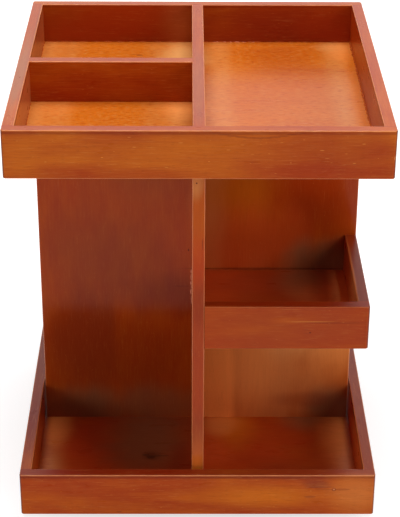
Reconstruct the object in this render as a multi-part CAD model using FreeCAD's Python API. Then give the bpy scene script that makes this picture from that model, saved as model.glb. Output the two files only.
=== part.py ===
import FreeCAD, Part
import math
import os
from FreeCAD import Vector

# A rotating makeup organizer of stained wood. Two square trays are held apart by a core
# of crossed boards, a small shelf tray sits half way up in two of the four bays, and the
# whole stands on a ball turntable with rubber feet. Sizes are in millimetres. The origin
# is on the table under the middle of the trays. X is to the right, the front faces -Y
# and Z is up. The rear half repeats the front half, turned by half a circle.

# Trays
tray_width = 250.0
tray_depth = 250.0
rail_thickness = 8.0
top_rail_height = 33.5
bottom_rail_height = 33.5
divider_thickness = 8.4
floor_thickness = 3.6
floor_let_in = 4.0  # how far a floor reaches into the rails round it

# Core between the trays
core_height = 258.5
core_side_gap = 1.2  # from the cross panel's ends to the side rails
core_end_gap = 4.4  # from the partitions' edges to the front and back rails
panel_thickness = 8.4
partition_thickness = 8.4

# Shelf trays
shelf_clear_height = 125.6 # from the bottom floor to the shelf's underside
shelf_rail_height = 32.7
shelf_rail_thickness = 8.2
shelf_let_in = 2.0  # how far a shelf floor reaches into its grooves

# Rounding of the showing edges
edge_radius = 0.8
corner_radius = 2.0

# Wood fasteners
dowel_radius = 2.5
dowel_depth = 11.0  # into each partition
dowel_count = 4
dowel_end_distance = 30.0
brad_radius = 0.7
brad_head_radius = 1.0
brad_head_height = 0.6
brad_length = 22.0
brad_set = 1.0  # depth of the filled hole over a brad's head
brad_edge_distance = 9.0
screw_shank_radius = 1.5
screw_head_radius = 3.0
screw_head_land = 0.2
screw_length = 16.0
screw_tip_length = 3.0
screw_inner_distance = 35.0  # from the middle of the core
screw_end_distance = 14.0  # from the ends of the core
recess_share = 0.6  # the recess's half length as a share of its head's radius
recess_width = 0.8
recess_depth = 1.0
hole_clearance = 0.05  # round every fastener in its hole

# Turntable
foot_thickness = 2.0
foot_radius = 7.0
foot_edge_radius = 0.4
foot_neck_radius = 2.5
foot_button_radius = 3.8
foot_button_height = 1.2
foot_count = 4
plate_radius = 84.0
plate_thickness = 1.0
flange_width = 15.0
step_run = 1.8  # how far out the step between web and flange goes
race_to_step = 5.2  # from the balls' circle out to the step
ball_radius = 2.0
ball_count = 16
ball_clearance = 0.2
web_gap = 1.6  # between the two plates' webs
cage_width = 8.6
cage_thickness = 1.0
cage_hole_clearance = 0.15
rivet_radius = 3.0
rivet_head_radius = 6.0
rivet_head_height = 1.0
rivet_running_clearance = 0.06
washer_radius = 9.0
washer_clearance = 0.2
plate_screw_count = 4
plate_screw_radius = 1.75
plate_screw_head_radius = 3.5
plate_screw_head_height = 2.0
plate_screw_head_rounding = 1.0
plate_screw_length = 16.0
access_hole_radius = 4.5
access_hole_angle = 22.5

# Places worked out from the sizes above
half_width = tray_width / 2
half_depth = tray_depth / 2
inner_half_width = half_width - rail_thickness
inner_half_depth = half_depth - rail_thickness
core_half_width = inner_half_width - core_side_gap
core_half_depth = inner_half_depth - core_end_gap
half_panel = panel_thickness / 2
half_partition = partition_thickness / 2
half_divider = divider_thickness / 2

race_groove_radius = ball_radius + ball_clearance
plate_rise = race_groove_radius + plate_thickness  # from the balls' middle to a plate's outer face
ball_height = foot_thickness + plate_rise
bottom_tray_low = ball_height + plate_rise
bottom_floor_top = bottom_tray_low + floor_thickness
core_top = bottom_floor_top + core_height
top_floor_top = core_top + floor_thickness
top_rim = core_top + top_rail_height
shelf_low = bottom_floor_top + shelf_clear_height
shelf_high = shelf_low + shelf_rail_height

web_underside = web_gap / 2
flange_inner_radius = plate_radius - flange_width
step_start_radius = flange_inner_radius - step_run
race_radius = step_start_radius - race_to_step
fixing_radius = plate_radius - flange_width / 2

UP = (0, 0, 1)
DOWN = (0, 0, -1)
RIGHT = (1, 0, 0)
FORWARD = (0, -1, 0)
BACKWARD = (0, 1, 0)

close_enough = 1e-4  # for telling whether two places are the same


def block(low, high):
    """A box between two corners."""
    size = [b - a for a, b in zip(low, high)]
    return Part.makeBox(*size, Vector(*low))


def same(a, b):
    return abs(a - b) < close_enough


def rounded(shape, radius, chosen):
    """The shape with each edge that the test accepts rounded."""
    edges = [edge for edge in shape.Edges if chosen(edge)]
    return shape.makeFillet(radius, edges)


def is_upright(edge):
    return same(edge.BoundBox.ZLength, edge.BoundBox.DiagonalLength)


def is_level_at(edge, height):
    return same(edge.BoundBox.ZMin, height) and same(edge.BoundBox.ZMax, height)


def lathe(outline):
    """A solid turned about Z from a closed outline of (radius, height) points."""
    points = [Vector(r, 0, z) for r, z in outline]
    face = Part.Face(Part.makePolygon(points + points[:1]))
    return face.revolve(Vector(0, 0, 0), Vector(*UP), 360)


def aimed(shape, start, direction):
    """A shape drawn along +Z from the origin, moved to start and pointed along direction."""
    turn = FreeCAD.Rotation(Vector(*UP), Vector(*direction))
    shape.Placement = FreeCAD.Placement(Vector(*start), turn)
    return shape


def turned(shape):
    """A copy of the shape, turned half a circle about the middle of the organizer."""
    copy = shape.copy()
    copy.rotate(Vector(0, 0, 0), Vector(*UP), 180)
    return copy


def on_circle(radius, count, first_angle=0.0):
    """Evenly spaced (x, y) places on a circle about the middle."""
    angles = [math.radians(first_angle + 360 * i / count) for i in range(count)]
    return [(radius * math.cos(a), radius * math.sin(a)) for a in angles]


def cut_by(shape, tools):
    """The shape without whatever of the tools reaches into it."""
    for tool in tools:
        if shape.BoundBox.intersect(tool.BoundBox):
            shape = shape.cut(tool)
    return shape


def crossed_recess(head_radius):
    """The cross that a screwdriver turns, cut down from z = 0."""
    reach = recess_share * head_radius
    half = recess_width / 2
    bar = block((-reach, -half, 0), (reach, half, recess_depth))
    return bar.fuse(block((-half, -reach, 0), (half, reach, recess_depth)))


def brad(start, direction, room=0.0):
    """A headed brad that points along direction, or its hole with room round it."""
    outline = [
        (0, -room),
        (brad_head_radius + room, -room),
        (brad_head_radius + room, brad_head_height + room),
        (brad_radius + room, brad_head_height + room),
        (brad_radius + room, brad_length + room),
        (0, brad_length + room),
    ]
    return aimed(lathe(outline), start, direction)


def wood_screw(start, direction, room=0.0):
    """A countersunk screw with its head's face at start, or its hole."""
    cone_end = screw_head_land + screw_head_radius - screw_shank_radius
    outline = [
        (0, 0),
        (screw_head_radius + room, 0),
        (screw_head_radius + room, screw_head_land),
        (screw_shank_radius + room, cone_end),
        (screw_shank_radius + room, screw_length - screw_tip_length),
        (0, screw_length + room),
    ]
    screw = lathe(outline)
    if room == 0:
        screw = screw.cut(crossed_recess(screw_head_radius))
    return aimed(screw, start, direction)


def plate_screw(start, direction, room=0.0):
    """A pan head screw with its head's seat at start, or the hole for its shank."""
    head_height = plate_screw_head_height
    shank = lathe([
        (0, 0),
        (plate_screw_radius + room, 0),
        (plate_screw_radius + room, plate_screw_length - screw_tip_length),
        (0, plate_screw_length + room),
    ])
    if room > 0:
        return aimed(shank, start, direction)
    head = Part.makeCylinder(plate_screw_head_radius, head_height, Vector(0, 0, -head_height))
    head = rounded(head, plate_screw_head_rounding, lambda edge: is_level_at(edge, -head_height))
    recess = crossed_recess(plate_screw_head_radius)
    recess.translate(Vector(0, 0, -head_height))
    return aimed(head.fuse(shank).removeSplitter().cut(recess), start, direction)


def rail_brads(x, y, low, high, direction):
    """The starts and direction of the two brads, one above the other, at a rail's joint."""
    heights = (low + brad_edge_distance, high - brad_edge_distance)
    return [((x, y, z), direction) for z in heights]


def tray_corner_brads(low, high):
    """Brads through the front and back rails into the ends of the side rails."""
    found = []
    for side in (-1, 1):
        x = side * (half_width - rail_thickness / 2)
        found += rail_brads(x, -half_depth + brad_set, low, high, BACKWARD)
        found += rail_brads(x, half_depth - brad_set, low, high, FORWARD)
    return found


def divider_brads():
    """Brads through the top tray's rails into the ends of its dividers."""
    low, high = core_top, top_rim
    found = rail_brads(0, -half_depth + brad_set, low, high, BACKWARD)
    found += rail_brads(0, half_depth - brad_set, low, high, FORWARD)
    found += rail_brads(-half_width + brad_set, 0, low, high, RIGHT)
    return found


def front_shelf_brads():
    """Brads that hold the shelf tray's rails to each other, the partition and the panel."""
    low, high = shelf_low, shelf_high
    side_x = core_half_width - shelf_rail_thickness / 2
    face_y = -core_half_depth + shelf_rail_thickness / 2
    found = rail_brads(side_x, -core_half_depth + brad_set, low, high, BACKWARD)
    found += rail_brads(-half_partition + brad_set, face_y, low, high, RIGHT)
    found += rail_brads(side_x, half_panel - brad_set, low, high, FORWARD)
    return found


def core_screw_places(arms):
    """(x, y) places of the screws along the core's arms, each arm an (x, y) direction."""
    found = []
    for across, along in arms:
        arm_length = core_half_width if across else core_half_depth
        for distance in (screw_inner_distance, arm_length - screw_end_distance):
            found.append((across * distance, along * distance))
    return found


def dowel(height, room=0.0):
    """A dowel from the front partition through the cross panel into the rear one."""
    reach = half_panel + dowel_depth + room
    start = Vector(0, -reach, height)
    return Part.makeCylinder(dowel_radius + room, 2 * reach, start, Vector(*BACKWARD))


def dowel_heights():
    first = bottom_floor_top + dowel_end_distance
    step = (core_height - 2 * dowel_end_distance) / (dowel_count - 1)
    return [first + i * step for i in range(dowel_count)]


def tray_body(low, high, openings):
    """A tray's rails and dividers as one body with its showing edges rounded.

    Rounding comes before the body is sawn into boards, so the boards meet flush, as
    they do when a tray is sanded after it is glued. An opening is (x0, y0, x1, y1).
    """
    body = block((-half_width, -half_depth, low), (half_width, half_depth, high))
    body = rounded(body, corner_radius, is_upright)
    for x0, y0, x1, y1 in openings:
        body = body.cut(block((x0, y0, low), (x1, y1, high)))

    def shows(edge):
        middle = edge.CenterOfMass
        outside = abs(middle.x) > inner_half_width + edge_radius
        outside = outside or abs(middle.y) > inner_half_depth + edge_radius
        return is_level_at(edge, high) or (is_level_at(edge, low) and outside)

    return rounded(body, edge_radius, shows)


def tray_floor(low):
    """A tray's floor, let into the rails all round and flush with their underside."""
    reach_x = inner_half_width + floor_let_in
    reach_y = inner_half_depth + floor_let_in
    return block((-reach_x, -reach_y, low), (reach_x, reach_y, low + floor_thickness))


def tray_boards(prefix, body, floor, low, high):
    """The floor and the four rails of a tray, sawn from its body."""
    w, d, iw, di = half_width, half_depth, inner_half_width, inner_half_depth
    saw = {
        "front_rail": block((-w, -d, low), (w, -di, high)),
        "back_rail": block((-w, di, low), (w, d, high)),
        "left_rail": block((-w, -di, low), (-iw, di, high)),
        "right_rail": block((iw, -di, low), (w, di, high)),
    }
    boards = {prefix + "_" + name: body.common(cut).cut(floor) for name, cut in saw.items()}
    boards[prefix + "_floor"] = floor
    return boards


def bottom_tray():
    low, high = bottom_tray_low, bottom_tray_low + bottom_rail_height
    opening = (-inner_half_width, -inner_half_depth, inner_half_width, inner_half_depth)
    body = tray_body(low, high, [opening])
    return tray_boards("bottom_tray", body, tray_floor(low), low, high)


def top_tray():
    """The top tray with two compartments at the left and a long one at the right."""
    low, high = core_top, top_rim
    iw, di, hd = inner_half_width, inner_half_depth, half_divider
    openings = [(-iw, -di, -hd, -hd), (-iw, hd, -hd, di), (hd, -di, iw, di)]
    body = tray_body(low, high, openings)
    boards = tray_boards("top_tray", body, tray_floor(low), low, high)
    boards["top_tray_long_divider"] = body.common(block((-hd, -di, top_floor_top), (hd, di, high)))
    boards["top_tray_cross_divider"] = body.common(
        block((-iw, -hd, top_floor_top), (-hd, hd, high))
    )
    return boards


def shelf_floor():
    """The front shelf's floor, let into its rails and grooved into partition and panel."""
    low = (
        half_partition - shelf_let_in,
        -core_half_depth + shelf_rail_thickness - floor_let_in,
        shelf_low,
    )
    high = (
        core_half_width - shelf_rail_thickness + floor_let_in,
        -half_panel + shelf_let_in,
        shelf_low + floor_thickness,
    )
    return block(low, high)


def shelf_boards():
    """The floor and rails of the shelf tray in the front right bay."""
    left, right = half_partition, core_half_width
    front, back = -core_half_depth, -half_panel
    inner_front = front + shelf_rail_thickness
    inner_right = right - shelf_rail_thickness
    body = block((left, front, shelf_low), (right, back, shelf_high))
    body = rounded(
        body,
        corner_radius,
        lambda edge: is_upright(edge)
        and same(edge.CenterOfMass.x, right)
        and same(edge.CenterOfMass.y, front),
    )
    body = body.cut(block((left, inner_front, shelf_low), (inner_right, back, shelf_high)))

    def shows(edge):
        middle = edge.CenterOfMass
        if same(middle.x, left) or same(middle.y, back):
            return False
        outside = middle.y < inner_front - edge_radius or middle.x > inner_right + edge_radius
        return is_level_at(edge, shelf_high) or (is_level_at(edge, shelf_low) and outside)

    body = rounded(body, edge_radius, shows)
    floor = shelf_floor()
    face_cut = block((left, front, shelf_low), (right, inner_front, shelf_high))
    side_cut = block((inner_right, inner_front, shelf_low), (right, back, shelf_high))
    return {
        "shelf_face_rail": body.common(face_cut).cut(floor),
        "shelf_side_rail": body.common(side_cut).cut(floor),
        "shelf_floor": floor,
    }


def core_boards():
    """The cross panel and the front partition, grooved for the shelf floors."""
    panel = block(
        (-core_half_width, -half_panel, bottom_floor_top), (core_half_width, half_panel, core_top)
    )
    panel = rounded(panel, edge_radius, is_upright)
    partition = block(
        (-half_partition, -core_half_depth, bottom_floor_top),
        (half_partition, -half_panel, core_top),
    )
    partition = rounded(
        partition,
        edge_radius,
        lambda edge: is_upright(edge) and same(edge.CenterOfMass.y, -core_half_depth),
    )
    floor = shelf_floor()
    return panel.cut(floor).cut(turned(floor)), partition.cut(floor)


def plate_face(hole_radius):
    """The section of the upper plate, drawn above the balls' middle."""
    inner, outer = web_underside, web_underside + plate_thickness
    bend = math.atan2(race_groove_radius - inner, step_run)
    lag = plate_thickness * math.tan(bend / 2)
    groove_half = math.sqrt(race_groove_radius**2 - inner**2)
    crown_half = math.sqrt(plate_rise**2 - outer**2)
    under = [
        Vector(race_radius + groove_half, 0, inner),
        Vector(step_start_radius, 0, inner),
        Vector(flange_inner_radius, 0, race_groove_radius),
        Vector(plate_radius, 0, race_groove_radius),
        Vector(plate_radius, 0, plate_rise),
        Vector(flange_inner_radius - lag, 0, plate_rise),
        Vector(step_start_radius - lag, 0, outer),
        Vector(race_radius + crown_half, 0, outer),
    ]
    hub = [
        Vector(race_radius - crown_half, 0, outer),
        Vector(hole_radius, 0, outer),
        Vector(hole_radius, 0, inner),
        Vector(race_radius - groove_half, 0, inner),
    ]
    crown_top = Vector(race_radius, 0, plate_rise)
    groove_top = Vector(race_radius, 0, race_groove_radius)
    edges = [Part.LineSegment(a, b).toShape() for a, b in zip(under, under[1:])]
    edges.append(Part.Arc(under[-1], crown_top, hub[0]).toShape())
    edges += [Part.LineSegment(a, b).toShape() for a, b in zip(hub, hub[1:])]
    edges.append(Part.Arc(hub[-1], groove_top, under[0]).toShape())
    return Part.Face(Part.Wire(edges))


def stamped_plate(hole_radius):
    """A turned plate above the balls' middle, with its race, web, step and flange."""
    return plate_face(hole_radius).revolve(Vector(0, 0, 0), Vector(*UP), 360)


def flange_holes(radius, places, low):
    """Round holes through one plate's flange, from low upwards."""
    return [Part.makeCylinder(radius, plate_rise, Vector(x, y, low)) for x, y in places]


def upper_plate():
    plate = stamped_plate(rivet_radius + rivet_running_clearance)
    plate.translate(Vector(0, 0, ball_height))
    places = on_circle(fixing_radius, plate_screw_count)
    return cut_by(plate, flange_holes(plate_screw_radius + hole_clearance, places, ball_height))


def lower_plate():
    """The upper plate's mirror image, with holes for the feet and one for a screwdriver."""
    plate = stamped_plate(rivet_radius + hole_clearance).mirror(Vector(0, 0, 0), Vector(*UP))
    plate.translate(Vector(0, 0, ball_height))
    low = ball_height - plate_rise
    access_place = on_circle(fixing_radius, 1, access_hole_angle)
    holes = flange_holes(foot_neck_radius + hole_clearance, foot_places(), low)
    holes += flange_holes(access_hole_radius, access_place, low)
    return cut_by(plate, holes)


def foot_places():
    """The feet stand half way between the turntable's screws."""
    return on_circle(fixing_radius, foot_count, 180 / foot_count)


def rubber_foot(x, y):
    """A pad with a neck through the lower plate and a button that holds it there."""
    neck_top = foot_thickness + plate_thickness
    pad = Part.makeCylinder(foot_radius, foot_thickness)
    pad = rounded(pad, foot_edge_radius, lambda edge: is_level_at(edge, 0))
    neck = Part.makeCylinder(foot_neck_radius, neck_top)
    button = Part.makeCone(
        foot_button_radius, foot_neck_radius, foot_button_height, Vector(0, 0, neck_top)
    )
    foot = pad.fuse([neck, button]).removeSplitter()
    foot.translate(Vector(x, y, 0))
    return foot


def ball_cage():
    ring = Part.makeCylinder(race_radius + cage_width / 2, cage_thickness)
    ring = ring.cut(Part.makeCylinder(race_radius - cage_width / 2, cage_thickness))
    pocket_radius = ball_radius + cage_hole_clearance
    pockets = [
        Part.makeCylinder(pocket_radius, cage_thickness, Vector(x, y, 0))
        for x, y in on_circle(race_radius, ball_count)
    ]
    ring = cut_by(ring, pockets)
    ring.translate(Vector(0, 0, ball_height - cage_thickness / 2))
    return ring


def bearing_balls():
    places = on_circle(race_radius, ball_count)
    return [Part.makeSphere(ball_radius, Vector(x, y, ball_height)) for x, y in places]


def centre_rivet():
    """The rivet that the upper plate turns on. Its heads hold the two plates together."""
    low_seat = -web_underside - plate_thickness
    high_seat = -low_seat + washer_clearance
    outline = [
        (0, low_seat - rivet_head_height),
        (rivet_head_radius, low_seat - rivet_head_height),
        (rivet_head_radius, low_seat),
        (rivet_radius, low_seat),
        (rivet_radius, high_seat),
        (rivet_head_radius, high_seat),
        (rivet_head_radius, high_seat + rivet_head_height),
        (0, high_seat + rivet_head_height),
    ]
    rivet = lathe(outline)
    rivet.translate(Vector(0, 0, ball_height))
    return rivet


def centre_washer():
    """The washer on the rivet, between the two webs."""
    height = web_gap - washer_clearance
    start = Vector(0, 0, ball_height - web_underside)
    washer = Part.makeCylinder(washer_radius, height, start)
    return washer.cut(Part.makeCylinder(rivet_radius + hole_clearance, height, start))


def wood_fasteners():
    """Every fastener in the wood by node, as lists of (maker, its arguments)."""
    four_arms = ((1, 0), (-1, 0), (0, 1), (0, -1))
    covered_arms = ((-1, 0), (0, 1), (0, -1))  # those with a divider above them
    plate_seat = bottom_tray_low - plate_thickness
    bottom_rim = bottom_tray_low + bottom_rail_height
    top_brads = tray_corner_brads(core_top, top_rim) + divider_brads()
    return {
        "top_tray_brads": [(brad, at) for at in top_brads],
        "bottom_tray_brads": [
            (brad, at) for at in tray_corner_brads(bottom_tray_low, bottom_rim)
        ],
        "core_dowels": [(dowel, (height,)) for height in dowel_heights()],
        "bottom_core_screws": [
            (wood_screw, ((x, y, bottom_tray_low), UP)) for x, y in core_screw_places(four_arms)
        ],
        "top_core_screws": [
            (wood_screw, ((x, y, top_floor_top), DOWN)) for x, y in core_screw_places(covered_arms)
        ],
        "turntable_screws": [
            (plate_screw, ((x, y, plate_seat), UP))
            for x, y in on_circle(fixing_radius, plate_screw_count)
        ],
    }


def made(fasteners, room=0.0):
    return [maker(*arguments, room) for maker, arguments in fasteners]


def build():
    """Every node by name, each a shape."""
    shelf = shelf_boards()
    panel, front_partition = core_boards()
    wood = {**bottom_tray(), **top_tray(), "cross_panel": panel}
    wood["front_partition"] = front_partition
    wood["rear_partition"] = turned(front_partition)
    for name, board in shelf.items():
        wood["front_" + name] = board
        wood["rear_" + name] = turned(board)

    fasteners = wood_fasteners()
    shelf_brads = [(brad, at) for at in front_shelf_brads()]
    holes = [hole for group in fasteners.values() for hole in made(group, hole_clearance)]
    shelf_holes = made(shelf_brads, hole_clearance)
    holes += shelf_holes + [turned(hole) for hole in shelf_holes]
    nodes = {name: cut_by(board, holes) for name, board in wood.items()}

    nodes.update({name: Part.makeCompound(made(group)) for name, group in fasteners.items()})
    nodes["front_shelf_brads"] = Part.makeCompound(made(shelf_brads))
    nodes["rear_shelf_brads"] = turned(nodes["front_shelf_brads"])

    nodes["turntable_upper_plate"] = upper_plate()
    nodes["turntable_lower_plate"] = lower_plate()
    nodes["bearing_balls"] = Part.makeCompound(bearing_balls())
    nodes["ball_cage"] = ball_cage()
    nodes["centre_rivet"] = centre_rivet()
    nodes["centre_washer"] = centre_washer()
    nodes["rubber_feet"] = Part.makeCompound([rubber_foot(x, y) for x, y in foot_places()])
    return nodes


def save(nodes):
    os.makedirs("parts", exist_ok=True)
    for name, shape in nodes.items():
        if len(shape.Solids) == 1:
            shape = shape.Solids[0]
        shape.exportStep("parts/" + name + ".step")
        box = shape.BoundBox
        print(f"{name:26s} {len(shape.Solids):3d} solids  {shape.Volume / 1000:8.2f} cm3 "
              f"{box.XLength:7.1f} {box.YLength:7.1f} {box.ZLength:7.1f}  valid {shape.isValid()}")


save(build())
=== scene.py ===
# %% [markdown]
# # A rotating makeup organizer of stained wood
# The organizer is two square trays with a core of crossed boards between them, on a ball
# turntable. Its boards are already modelled at their real size, and this lesson dresses
# them: stained and lacquered wood, the small marks of the workshop, the metal and rubber of
# the turntable, and the studio that it stands in. We start by loading the boards, because
# every mark and every grain direction is worked out from where they are.

# %% Load the organizer
import math
from types import SimpleNamespace

import bmesh
import bpy
from mathutils import Matrix, Vector


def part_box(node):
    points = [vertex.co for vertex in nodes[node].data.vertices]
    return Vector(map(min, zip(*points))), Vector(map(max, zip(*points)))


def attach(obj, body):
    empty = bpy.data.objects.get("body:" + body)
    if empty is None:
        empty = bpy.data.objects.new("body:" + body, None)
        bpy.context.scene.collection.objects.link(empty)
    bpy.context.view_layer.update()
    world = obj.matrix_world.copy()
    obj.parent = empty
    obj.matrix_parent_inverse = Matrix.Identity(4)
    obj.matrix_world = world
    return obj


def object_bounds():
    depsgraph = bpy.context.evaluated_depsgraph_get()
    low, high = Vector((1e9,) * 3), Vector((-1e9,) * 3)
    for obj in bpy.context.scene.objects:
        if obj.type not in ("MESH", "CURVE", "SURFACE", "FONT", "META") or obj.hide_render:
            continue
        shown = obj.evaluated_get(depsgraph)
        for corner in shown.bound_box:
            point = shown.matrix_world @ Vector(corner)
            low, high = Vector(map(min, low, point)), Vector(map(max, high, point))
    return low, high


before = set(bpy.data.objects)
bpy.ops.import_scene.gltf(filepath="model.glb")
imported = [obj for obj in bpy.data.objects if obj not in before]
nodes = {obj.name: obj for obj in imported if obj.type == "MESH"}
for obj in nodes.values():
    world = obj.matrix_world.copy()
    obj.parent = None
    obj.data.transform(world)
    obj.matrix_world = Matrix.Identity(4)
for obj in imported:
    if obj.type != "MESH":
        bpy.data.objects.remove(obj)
boards_low, boards_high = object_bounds()
print("boards and turntable from", boards_low[:], "to", boards_high[:])

RIGHT, BACK, UP = Vector((1, 0, 0)), Vector((0, 1, 0)), Vector((0, 0, 1))
MM = 0.001

# %% [markdown]
# ## The camera
# The photograph looks down on the front at about 28 degrees from a bit more than a metre
# away. A place and three turns that were fitted to the edges of both trays give the same
# view here. Aiming the camera at a target would be shorter, but the photograph leans a
# little, and an aimed camera can't roll. The three turns are kept apart, because pan, tilt
# and roll are easier to read than one matrix, and they come in a tripod head's order.

# %% Camera
camera_place = Vector((-7.1, -1074.4, 710.2)) * MM
camera_pan, camera_tilt, camera_roll = -0.482, -27.612, -0.3
focal_length, sensor_width = 114.35, 36.0
nearest, farthest = 0.05, 20.0

camera = bpy.data.objects.new("camera", bpy.data.cameras.new("camera"))
bpy.context.scene.collection.objects.link(camera)
bpy.context.scene.camera = camera
camera.data.lens = focal_length
camera.data.sensor_width = sensor_width
camera.data.clip_start, camera.data.clip_end = nearest, farthest
camera.matrix_world = (
    Matrix.Translation(camera_place)
    @ Matrix.Rotation(math.radians(camera_pan), 4, "Z")
    @ Matrix.Rotation(math.radians(camera_tilt), 4, "X")
    @ Matrix.Rotation(math.radians(camera_roll), 4, "Y")
    @ Matrix.Rotation(math.radians(90), 4, "X")  # from straight down to level
)
print("camera", round((camera_place - Vector((0, 0, boards_high.z / 2))).length, 3), "m away")

# %% [markdown]
# ## Shader maths as plain expressions
# A wood finish is a long sum of small effects, and in the node editor that is a web of Math
# nodes. Here a small class wraps a socket and gives it the usual operators, so that a line
# such as `1 - mask * 0.5` adds its Math nodes by itself. Every other node comes from one
# method, which takes the node's type, its settings and its sockets. It serves a material as
# well as the world round it, since both are a tree of nodes.

# %% A socket with operators
class Wire:
    """A socket on which + - * and / add Math nodes."""

    def __init__(self, finish, socket):
        self.finish = finish
        self.socket = socket

    def maths(self, operation, *terms):
        sockets = dict(enumerate(terms))
        return self.finish.node("Math", {"operation": operation}, sockets)

    def __add__(self, other):
        return self.maths("ADD", self, other)

    def __radd__(self, other):
        return self.maths("ADD", other, self)

    def __sub__(self, other):
        return self.maths("SUBTRACT", self, other)

    def __rsub__(self, other):
        return self.maths("SUBTRACT", other, self)

    def __mul__(self, other):
        return self.maths("MULTIPLY", self, other)

    def __rmul__(self, other):
        return self.maths("MULTIPLY", other, self)

    def __truediv__(self, other):
        return self.maths("DIVIDE", self, other)

    def __rtruediv__(self, other):
        return self.maths("DIVIDE", other, self)

    def __abs__(self):
        return self.maths("ABSOLUTE", self)

    def most(self, other):
        return self.maths("MAXIMUM", self, other)

    def also(self, name):
        """Another output of the node that this wire comes from."""
        return Wire(self.finish, self.socket.node.outputs[name])


print("a wire:", Wire.__doc__)


# %% Sockets and colours
def socket_of(sockets, name):
    """A socket by its number or, where names repeat, by its identifier."""
    if isinstance(name, int):
        return sockets[name]
    return [s for s in sockets if name in (s.name, s.identifier) and s.enabled][0]


def colour(red, green, blue):
    """A colour as a paint program shows it, 0 to 255, in the linear form that shaders take."""
    def linear(value):
        share = value / 255
        return share / 12.92 if share <= 0.04045 else ((share + 0.055) / 1.055) ** 2.4
    return (linear(red), linear(green), linear(blue), 1.0)


print("a mid stain in linear colour:", [round(v, 3) for v in colour(175, 84, 30)])


# %% A material that is built node by node
class Finish:
    """A material or a world, with one method that adds any node and names for common ones."""

    def __init__(self, owner):
        self.owner = owner
        owner.use_nodes = True
        self.tree = owner.node_tree
        self.tree.nodes.clear()

    def node(self, kind, settings=None, sockets=None, out=0):
        """Adds a node: first its settings, then values or links for its sockets."""
        made = self.tree.nodes.new("ShaderNode" + kind)
        for name, value in (settings or {}).items():
            setattr(made, name, value)
        for name, value in (sockets or {}).items():
            socket = socket_of(made.inputs, name)
            if isinstance(value, Wire):
                self.tree.links.new(value.socket, socket)
            else:
                socket.default_value = value
        return Wire(self, socket_of(made.outputs, out)) if made.outputs else None

    def object_place(self):
        """A point's place on the organizer, in metres from the middle of its foot."""
        return self.node("TexCoord", out="Object")

    def length(self, vector):
        return self.node("VectorMath", {"operation": "LENGTH"}, {0: vector}, out="Value")

    def mix(self, a, b, share):
        settings = {"data_type": "RGBA", "clamp_factor": True}
        sockets = {"Factor_Float": share, "A_Color": a, "B_Color": b}
        return self.node("Mix", settings, sockets, out="Result_Color")

    def tinted(self, colour, amount):
        """A colour times a number, which a Math node would turn grey."""
        sockets = {"Vector": colour[:3], "Scale": amount}
        return self.node("VectorMath", {"operation": "SCALE"}, sockets)

    def smooth(self, value, low, high):
        """0 below low, 1 above high and a soft step between them."""
        settings = {"interpolation_type": "SMOOTHSTEP"}
        sockets = {"Value": value, "From Min": low, "From Max": high}
        return self.node("MapRange", settings, sockets)

    def stretched(self, place, stretch):
        """A place with each axis multiplied, to draw a pattern out along one of them."""
        return self.node("VectorMath", {"operation": "MULTIPLY"}, {0: place, 1: stretch})

    def noise(self, place, stretch, detail=2.0, roughness=0.5, distortion=0.0):
        sockets = {"Vector": self.stretched(place, stretch), "Scale": 1.0, "Detail": detail,
                   "Roughness": roughness, "Distortion": distortion}
        return self.node("TexNoise", {"noise_dimensions": "3D"}, sockets)

    def split(self, vector):
        """The x, y and z of a vector."""
        x = self.node("SeparateXYZ", {}, {0: vector})
        return [x, x.also("Y"), x.also("Z")]

    def bumped(self, height, strength, depth):
        """A normal that a height pattern has tipped, as if it were depth millimetres deep."""
        sockets = {"Strength": strength, "Distance": depth * MM, "Height": height}
        return self.node("Bump", {}, sockets, out="Normal")

    def ends_in(self, shader, kind="Material"):
        """Feeds the output and gives back the finished material or world."""
        self.node("Output" + kind, {}, {"Surface": shader})
        return self.owner

    def done(self, **sockets):
        """Ends the material in a Principled shader with these sockets."""
        sockets = {name.replace("_", " "): value for name, value in sockets.items()}
        return self.ends_in(self.node("BsdfPrincipled", {}, sockets))


print("a finish:", Finish.__doc__)

# %% [markdown]
# ## Where a board's grain lies
# Wood has one direction: fibres run along the board, and growth rings curve across it. The
# finish reads Object coordinates, so the first step is a Mapping node that turns them to
# the board's own axes in millimetres: along the fibres, through the thickness, and across
# the face. Moving the heart of the log for each board gives each its own figure, as when
# boards are cut from different trees.

# %% Board axes
def board_turn(along, through):
    """The rotation that takes the organizer's axes to along, through and across."""
    across = along.cross(through)
    return Matrix((along, through, across)).to_euler()


def board_axes(finish, along, through, heart):
    """Object coordinates as (along, through, across) in millimetres from the log's heart."""
    sockets = {"Vector": finish.object_place(), "Rotation": board_turn(along, through),
               "Scale": (1 / MM,) * 3, "Location": heart}
    return finish.node("Mapping", {"vector_type": "POINT"}, sockets)


upright_turn = [round(math.degrees(angle)) for angle in board_turn(UP, BACK)]
print("an upright board's grain is turned by", upright_turn, "degrees")

# %% [markdown]
# ## The stained wood
# The real boards are a pale, even hardwood with a red-brown stain and a satin lacquer. Up
# close there are growth rings as soft bands, fine fibres, short pores, and clouds where the
# stain soaked in more. On the rounded edges the stain is rubbed thin, and on the edges that
# face upwards a painted highlight is added, so they shine orange. A photograph of wood would
# be one way to make this. Patterns are better here, because each board gets its own figure,
# the end grain can differ from the faces, and the detail stays sharp from any distance.

# %% Growth rings, fibres and pores
ring_width, ring_wander, ring_ripple = 2.6, 34.0, 1.6


def growth_rings(finish, place):
    """0 in the pale early wood of a ring, rising to 1 in its dark late wood."""
    wander = finish.noise(place, (0.004, 0.035, 0.035), detail=1.0)
    ripple = finish.noise(place, (0.03, 0.25, 0.25), detail=2.0)
    flat = finish.stretched(place, (0.0, 1.0, 1.0))
    turn = (finish.length(flat) + wander * ring_wander + ripple * ring_ripple) / ring_width
    phase = finish.node("Math", {"operation": "FRACT"}, {0: turn})
    return finish.smooth(phase, 0.15, 0.85) * (1 - finish.smooth(phase, 0.9, 1.0))


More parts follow.
